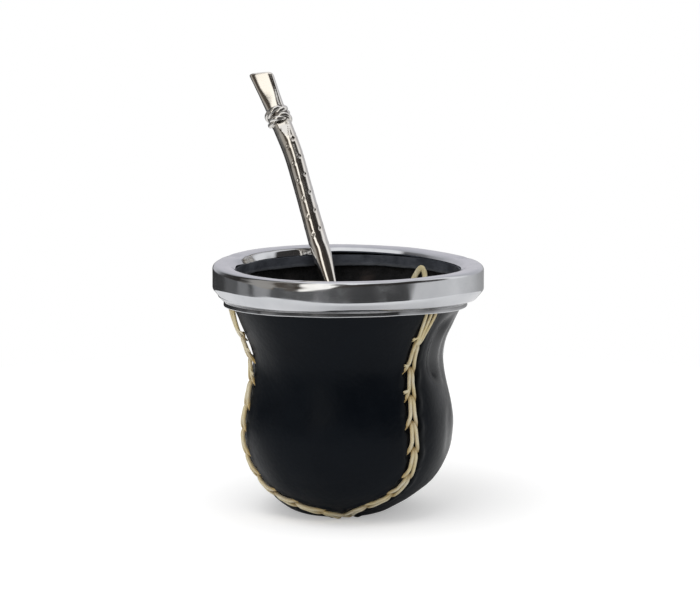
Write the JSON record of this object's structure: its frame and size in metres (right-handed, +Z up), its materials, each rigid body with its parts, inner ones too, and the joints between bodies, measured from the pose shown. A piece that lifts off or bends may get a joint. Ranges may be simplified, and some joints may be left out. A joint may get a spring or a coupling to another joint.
{
  "type": "mate cup with metal straw",
  "caption": "Round-bellied leather mate cup sewn from panels, with a flared metal rim and a metal drinking straw leaning in it.",
  "frame": {"origin": "middle of the cup's foot, on the surface that it stands on", "axes": "+Z up along the cup's axis; the camera side is -Y; the straw leans towards +Y and a little towards -X"},
  "size_m": [0.09, 0.1149, 0.1427],
  "materials": {
    "leather": "smooth satin black leather",
    "lining": "dark lining leather",
    "thread": "cream waxed thread, three strands wide",
    "rim_metal": "polished, slightly uneven from the hand",
    "straw_metal": "polished, with small raised dots"
  },
  "bodies": {
    "root": {"leather_front": "leather", "leather_right": "leather", "leather_back": "leather", "lining_band": "lining", "seam_back": "thread", "seam_left": "thread", "seam_right": "thread", "rim": "rim_metal", "straw_stem": "straw_metal", "straw_ring": "straw_metal", "straw_mouthpiece": "straw_metal", "straw_filter": "straw_metal"}
  },
  "joints": []
}
